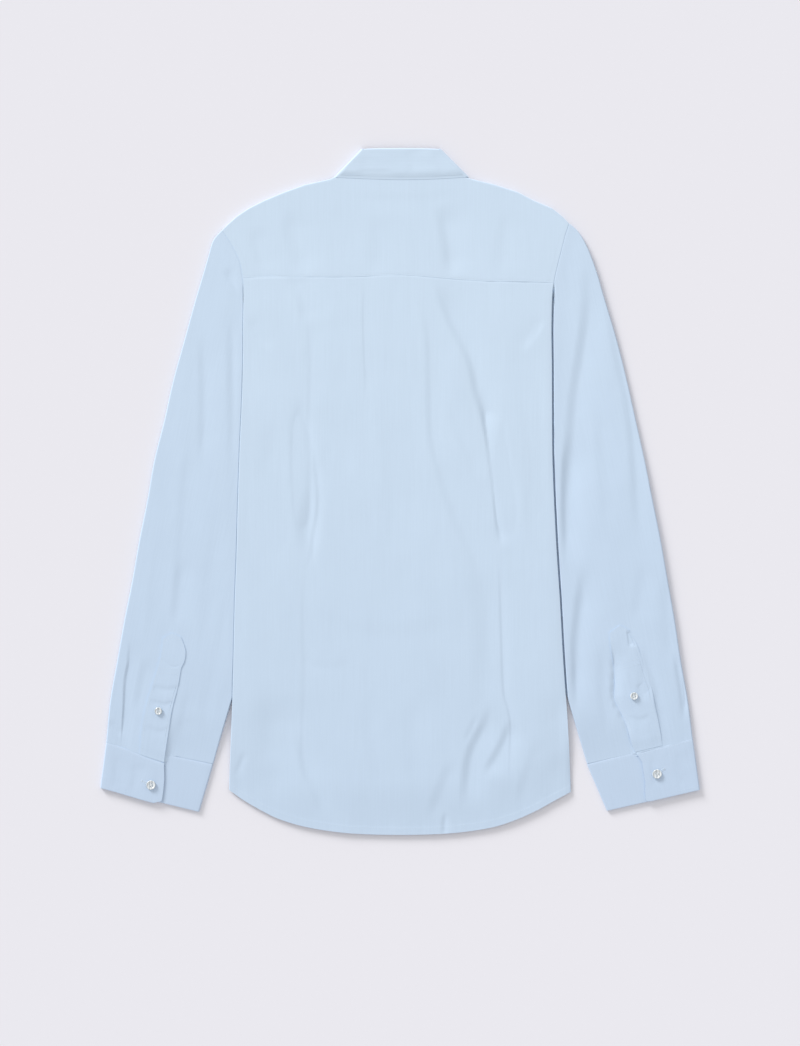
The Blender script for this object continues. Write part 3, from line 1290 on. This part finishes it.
FALL_COUNTS = (40, 14, 96, 34)
fall_face, fall_back = collar_grids(
    FALL_BACK, FALL_LEFT, FALL_RIGHT, STIFF_SHELL, FALL_BULGE, True, [lambda s: 0.0] * 2,
    COLLAR_TOP, FALL_COUNTS,
)
starts = np.cumsum(FALL_COUNTS[:3] + FALL_COUNTS[1:2])
first_crease, behind, last_crease = (slice(*ends) for ends in zip(starts, starts[1:]))

# Behind, the leaf comes down to the yoke at its rim, where it is thinner.
from_rim = (1 - band_rows(FALL_COUNTS[3]))[:, None] * LEAF_DEPTH
lifted = smooth(from_rim / LEAF_SETTLES)
thickness = STIFF_SHELL * mix(LEAF_RIM_SHARE, 1, smooth(from_rim / LEAF_RIM_TAPER))
x, y = fall_face[:, behind, 0], fall_face[:, behind, 1]
leaf_soft = crease_height(FALL_CREASES, x, y) + 0.2 * ripple(x, y, 30, 14, 41.5)
leaf_soft = leaf_soft * smooth((FALL_BACK["fold"][0][1] - y) / 4)
leaf_back = mix(yoke_top(x, y) + LEAF_CLEARANCE, fall_back[:, behind, 2] + leaf_soft, lifted)
fall_back[:, behind, 2] = leaf_back
fall_face[:, behind, 2] = mix(leaf_back + thickness, fall_face[:, behind, 2] + leaf_soft, lifted)

# The slanted creases sink to the same height at the rim.
for crease in (first_crease, last_crease):
    face_z, back_z = fall_face[:, crease, 2], fall_back[:, crease, 2]
    sinking = 1 - LEAF_SINKS * (1 - lifted)
    on_top = (1 - lifted) * np.clip(face_z / COLLAR_TOP, 0, 1) ** 4
    sunk = face_z * sinking
    fall_back[:, crease, 2] = mix(back_z * sinking, sunk - LEAF_RIM_SHARE * STIFF_SHELL, on_top)
    fall_face[:, crease, 2] = sunk
fall = add_piece("collar_fall_cloth", *shell(fall_face, fall_back), collar_cloth)
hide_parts("collar_fall")

STAND_COUNTS = (24, 10, 40, 14)
stand_heights = (
    lambda s: mix(FRONT_OVER_COLLAR, FRONT_OVER_BUTTONS, smooth((s - 0.3) / 0.4)),
    lambda s: mix(FRONT_OVER_COLLAR, FRONT_OVER_BUTTONS + CLOSURE_STEP, smooth((s - 0.2) / 0.4)),
)
stand_face, stand_back = collar_grids(
    STAND_BACK, STAND_LEFT, STAND_RIGHT, CLOTH, STAND_BULGE, False, stand_heights, BACK_TOP, STAND_COUNTS
)
stand = add_piece("collar_stand_cloth", *shell(stand_face, stand_back), collar_cloth)
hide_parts("collar_stand")


# Buttons: a lathed rim with a dished middle, four drilled holes and the thread through them.
def lathe(profile, segments):
    """A closed solid of revolution whose profile starts and ends on the axis."""
    points = [(0, 0, profile[0][1])]
    rings = profile[1:-1]
    for radius, height in rings:
        for k in range(segments):
            turn = 2 * math.pi * k / segments
            points.append((radius * math.cos(turn), radius * math.sin(turn), height))
    points.append((0, 0, profile[-1][1]))
    last = len(points) - 1
    faces = []
    for k in range(segments):
        after = (k + 1) % segments
        faces.append((0, 1 + after, 1 + k))
        for ring in range(len(rings) - 1):
            a, b = 1 + ring * segments + k, 1 + ring * segments + after
            faces.append((a, b, b + segments, a + segments))
        outer = 1 + (len(rings) - 1) * segments
        faces.append((last, outer + k, outer + after))
    return np.array(points, float), faces


def joined(parts):
    """The points and faces of several parts as one."""
    points, faces, count = [], [], 0
    for part_points, part_faces in parts:
        points.append(part_points)
        faces += [tuple(i + count for i in face) for face in part_faces]
        count += len(part_points)
    return np.vstack(points), faces


HOLE_OFFSET = 1.35
HOLE_RADIUS = 0.62
BUTTON_DISH = 0.69
BUTTON_PROFILE = points("""
    0,0 0.3,0 0.4,0.08 0.47,0.24 0.5,0.44 0.5,0.6 0.485,0.82 0.455,0.96 0.42,1 0.385,0.95 0.355,0.84
    0.33,0.74 0.29,0.7 0.15,0.69 0,0.69
""")


def button_mesh():
    """A button of diameter 1 and height 1, drilled by a boolean."""
    radius = HOLE_RADIUS / BUTTON_DIAMETER
    rod, rod_faces = lathe([(0, -0.5), (radius, -0.5), (radius, 1.5), (0, 1.5)], 16)
    holes = [np.array([x, y, 0]) * HOLE_OFFSET / BUTTON_DIAMETER for x in (-1, 1) for y in (-1, 1)]
    drills = joined([(rod + hole, rod_faces) for hole in holes])
    solids = []
    for name, (points, faces) in [("button_form", lathe(BUTTON_PROFILE, 56)), ("button_drill", drills)]:
        mesh = bpy.data.meshes.new(name)
        mesh.from_pydata(points.tolist(), [], faces)
        solids.append(bpy.data.objects.new(name, mesh))
        bpy.context.collection.objects.link(solids[-1])
    form, drill = solids
    cut = form.modifiers.new("holes", "BOOLEAN")
    cut.operation, cut.solver, cut.object = "DIFFERENCE", "EXACT", drill
    bpy.context.view_layer.update()
    drilled = bpy.data.meshes.new_from_object(form.evaluated_get(bpy.context.evaluated_depsgraph_get()))
    for solid in solids:
        bpy.data.objects.remove(solid)
    points = np.array([vertex.co[:] for vertex in drilled.vertices])
    return points, [tuple(polygon.vertices) for polygon in drilled.polygons]


BUTTON_POINTS, BUTTON_FACES = button_mesh()


# The share of a rod's radius at shares of its length.
ROD_SIZES = ((0.0, 0.4), (0.12, 0.85), (0.3, 1.0), (0.7, 1.0), (0.88, 0.85), (1.0, 0.4))


def capsule(start, end, radius, sides=6):
    """A rounded rod between two places, as points and faces."""
    start, end = np.array(start, float), np.array(end, float)
    line = end - start
    length = np.linalg.norm(line)
    line = line / length
    across = np.cross(line, (0, 0, 1)) if abs(line[2]) < 0.9 else np.cross(line, (1, 0, 0))
    across = across / np.linalg.norm(across)
    upward = np.cross(across, line)
    turns = np.linspace(0, 2 * math.pi, sides, endpoint=False)
    ring = np.cos(turns)[:, None] * across + np.sin(turns)[:, None] * upward
    points = np.vstack([start + line * length * share + ring * radius * size for share, size in ROD_SIZES])
    faces = []
    for k in range(len(ROD_SIZES) - 1):
        for i in range(sides):
            a, b = k * sides + i, k * sides + (i + 1) % sides
            faces.append((a, b, b + sides, a + sides))
    faces.append(tuple(range(sides))[::-1])
    faces.append(tuple(range((len(ROD_SIZES) - 1) * sides, len(ROD_SIZES) * sides)))
    return points, faces


THREAD_RADIUS = 0.17
THREAD_LANE = 0.22
THREAD_BOW = 0.34


def button(name, place, bottom, diameter, turn=20, faces_down=False):
    """A sewn button: the pearl disc, and the threads that cross between its holes."""
    cos, sin = math.cos(math.radians(turn)), math.sin(math.radians(turn))
    spin = np.array([[cos, -sin, 0], [sin, cos, 0], [0, 0, 1]])
    points = BUTTON_POINTS * (diameter, diameter, BUTTON_HEIGHT) @ spin.T
    offset = HOLE_OFFSET * diameter / BUTTON_DIAMETER
    dish = BUTTON_DISH * BUTTON_HEIGHT
    threads = []
    for side in (-1, 1):
        for lane in (-THREAD_LANE, 0.0, THREAD_LANE):
            start = spin @ (side * offset + lane, -offset, dish - 0.12)
            end = spin @ (side * offset - lane, offset, dish - 0.12)
            middle = (start + end) / 2 + (0, 0, THREAD_BOW)
            threads += [capsule(start, middle, THREAD_RADIUS), capsule(middle, end, THREAD_RADIUS)]
        for corner in (-1, 1):
            foot = spin @ (side * offset, corner * offset, dish)
            threads.append(capsule(foot + (0, 0, 0.05), foot - (0, 0, dish + 0.1), 2 * THREAD_RADIUS))
    thread_points, thread_faces = joined(threads)
    if faces_down:
        points = points * (1, -1, -1) + (0, 0, BUTTON_HEIGHT)
        thread_points = thread_points * (1, -1, -1) + (0, 0, BUTTON_HEIGHT)
    shift = np.array([place[0], place[1], bottom])
    disc = add_piece(f"{name}_pearl", points + shift, BUTTON_FACES, button_pearl, "button", sharp=40)
    add_piece(f"{name}_thread", thread_points + shift, thread_faces, thread)
    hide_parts(name)


for i in range(FRONT_BUTTONS):
    place = (0, FRONT_BUTTON_FIRST_Y - i * FRONT_BUTTON_PITCH)
    button(f"button_front_{i + 1}", place, 0, BUTTON_DIAMETER, faces_down=True)
button("button_collar", COLLAR_BUTTON, 0, BUTTON_DIAMETER, faces_down=True)
for side, place, turn in [("left", PLACKET_BUTTON_LEFT, 10), ("right", PLACKET_BUTTON_RIGHT, 32)]:
    x, y = np.array(place)
    height = float(sleeve_top(x, y)) + PLACKET_THICKNESS + LAYER_GAP
    button(f"button_placket_{side}", place, height, PLACKET_BUTTON_DIAMETER, turn)
for side, place, turn in [("left", CUFF_BUTTON_LEFT, 24), ("right", CUFF_BUTTON_RIGHT, 40)]:
    button(f"button_cuff_{side}", place, CUFF_TOP + LAYER_GAP, BUTTON_DIAMETER, turn)


# Stitches, one rounded rod for each, sunk at both ends.
STITCH_PITCH = 3.0
STITCH_LENGTH = 2.3
STITCH_RADIUS = 0.15
CUFF_STITCH_RADIUS = 0.12
STITCH_SUNK = 0.02


def stitch_row(track, height_of, radius=STITCH_RADIUS):
    """Stitches along a track of plan points, on the surface that height_of gives."""
    track = np.array(track, float)
    run = np.concatenate([[0], np.cumsum(np.hypot(*np.diff(track, axis=0).T))])
    count = max(int(run[-1] / STITCH_PITCH), 1)
    parts = []
    for k in range(count):
        middle = (k + 0.5) * run[-1] / count
        ends = []
        for side in (-1, 1):
            x, y = (np.interp(middle + side * STITCH_LENGTH / 2, run, track[:, axis]) for axis in (0, 1))
            ends.append((x, y, float(height_of(np.array(x), np.array(y))) - STITCH_SUNK))
        parts.append(capsule(*ends, radius))
    return parts


def stitched(name, rows):
    add_piece(name, *joined([stitch for row in rows for stitch in row]), thread)


def sampled(curve, first, last):
    return curve(np.linspace(first, last, 120))


stitched("stitches_hem", [stitch_row(sampled(raised(by_x(HEM), HEM_WIDTH), 0.012, 0.988), back_top)])
stitched("stitches_yoke", [stitch_row(sampled(raised(yoke_seam, YOKE_STITCH), 0.012, 0.988), yoke_top)])


ARMHOLE_STITCH = 6
ARMHOLE_STITCH_END_Y = 240.4


def armhole_track(points, side):
    curve = edge(points)
    last = share_at_y(curve, ARMHOLE_STITCH_END_Y)
    return sampled(lambda s: curve(s) - np.array([side * ARMHOLE_STITCH, 0]), 0.02, last)


def top_of_body(x, y):
    return np.where(y > yoke_seam_y(x), yoke_top(x, y), back_top(x, y))


stitched("stitches_armholes", [
    stitch_row(armhole_track(BODY_LEFT, -1), top_of_body),
    stitch_row(armhole_track(BODY_RIGHT, 1), top_of_body),
])

LEAF_STITCH = 3.6
leaf_track = sampled(raised(edge(FALL_BACK["rim"]), LEAF_STITCH), 0.05, 0.95)


def leaf_top(x, y):
    points = fall_face[:, behind].reshape(-1, 3)
    return points[np.argmin(np.hypot(points[:, 0] - x, points[:, 1] - y)), 2]


stitched("stitches_collar", [stitch_row(leaf_track, leaf_top)])


def cuff_stitches(shape):
    """Rows of stitches on the upper side of a cuff, in from its seam, free and buttoned edges."""
    def at(share, row):
        share = share * cuff_end(shape, row)
        return cuff_place(shape, share, 0, row, cuff_sag(shape, share))

    shares, rows = np.linspace(0.06, 0.93, 50), np.linspace(0.04, 0.93, 40)
    tracks = [[at(share, row) for share in shares] for row in (0.04, 0.93)]
    tracks.append([at(0.93, row) for row in rows])
    return [stitch_row(track, lambda x, y: CUFF_TOP - 0.08, CUFF_STITCH_RADIUS) for track in tracks]


# Where the stitches of a placket run: from and to across it, from and to down it, and the places.
PLACKET_STITCHES = (
    (0.1, 0.1, 0.04, 0.97, 60),
    (0.9, 0.9, 0.30, 0.97, 50),
    (0.9, 0.9, 0.04, 0.2, 20),
    (0.12, 0.88, 0.26, 0.26, 12),
    (0.12, 0.88, 0.30, 0.30, 12),
    (0.1, 0.9, 0.03, 0.03, 16),
)


def placket_stitches(shape):
    def top(x, y):
        return sleeve_top(x, y) + placket_thickness(shape, x, y)

    plan = placket_plan(shape)
    return [
        stitch_row(plan(np.linspace(u0, u1, count), np.linspace(v0, v1, count)), top)
        for u0, u1, v0, v1, count in PLACKET_STITCHES
    ]


stitched("stitches_cuff_left", cuff_stitches(CUFF_LEFT))
stitched("stitches_cuff_right", cuff_stitches(CUFF_RIGHT))
stitched("stitches_placket_left", placket_stitches(PLACKET_LEFT))
stitched("stitches_placket_right", placket_stitches(PLACKET_RIGHT))


# Buttonholes: a lane of close stitches on each side of the cut, from under the button outwards.
HOLE_STITCH_PITCH = 0.5
HOLE_STITCH_RADIUS = 0.26


def buttonhole(name, start, end):
    start, end = np.array(start), np.array(end)
    length = np.linalg.norm(end - start)
    line = (end - start) / length
    across = np.array([-line[1], line[0]])
    spans = []
    for k in range(int(length / HOLE_STITCH_PITCH)):
        middle = start + line * k * HOLE_STITCH_PITCH
        spans += [(middle + across * side * 0.25, middle + across * side * 1.15, 0.1) for side in (-1, 1)]
    for lane in np.linspace(-1.0, 1.0, 6):
        spans.append((end + across * lane - line * 0.2, end + across * lane * 1.1 + line * 1.0, 0))
    parts = [
        capsule((*near, CUFF_TOP - sunk), (*far, CUFF_TOP - 0.1), HOLE_STITCH_RADIUS)
        for near, far, sunk in spans
    ]
    add_piece(name, *joined(parts), thread)


buttonhole("buttonhole_cuff_left", CUFF_BUTTON_LEFT, CUFF_HOLE_END_LEFT)
buttonhole("buttonhole_cuff_right", CUFF_BUTTON_RIGHT, CUFF_HOLE_END_RIGHT)


# Floor, light and camera.
GROUND = (0.82, 0.81, 0.86)
GROUND_LEVEL = -0.05 * MM
GROUND_HALF = 6.0
SKY_STRENGTH = 0.725
SUN_STRENGTH = 2.57
SUN_WIDTH = 20
SUN_ELEVATION = 20
SUN_FROM = (-0.62, 0.78)
VIEW_HEIGHT = 1223.8
VIEW_CENTRE_Y = -36.9
CLOTH_MIDDLE = 5
LENS = 100
SENSOR = 36


def floor():
    material, _, finish = material_of("studio_floor")
    finish({"Base Color": (*GROUND, 1), "Roughness": 0.95, "Specular IOR Level": 0.1})
    mesh = bpy.data.meshes.new("studio_floor")
    signs = [(-1, -1), (1, -1), (1, 1), (-1, 1)]
    square = [(x * GROUND_HALF, y * GROUND_HALF, GROUND_LEVEL) for x, y in signs]
    mesh.from_pydata(square, [], [(0, 1, 2, 3)])
    mesh.materials.append(material)
    plane = bpy.data.objects.new("studio_floor", mesh)
    bpy.context.collection.objects.link(plane)


def lights():
    world = bpy.data.worlds.new("studio")
    world.use_nodes = True
    background = world.node_tree.nodes["Background"]
    background.inputs["Color"].default_value = (1, 1, 1, 1)
    background.inputs["Strength"].default_value = SKY_STRENGTH
    bpy.context.scene.world = world
    lamp = bpy.data.lights.new("key", "SUN")
    lamp.energy = SUN_STRENGTH
    lamp.angle = math.radians(SUN_WIDTH)
    key = bpy.data.objects.new("key", lamp)
    toward = Vector((*SUN_FROM, math.tan(math.radians(SUN_ELEVATION)) * math.hypot(*SUN_FROM)))
    key.rotation_euler = toward.to_track_quat("Z", "Y").to_euler()
    bpy.context.collection.objects.link(key)


def camera():
    """Straight above, so that the picture's height covers VIEW_HEIGHT at the cloth."""
    lens = bpy.data.cameras.new("camera")
    lens.lens, lens.sensor_width, lens.sensor_fit = LENS, SENSOR, "AUTO"
    eye = bpy.data.objects.new("camera", lens)
    height = CLOTH_MIDDLE * MM + VIEW_HEIGHT * MM * LENS / SENSOR
    eye.location = (0, VIEW_CENTRE_Y * MM, height)
    bpy.context.collection.objects.link(eye)
    bpy.context.scene.camera = eye


floor()
lights()
camera()
bpy.context.scene.view_settings.view_transform = "Standard"
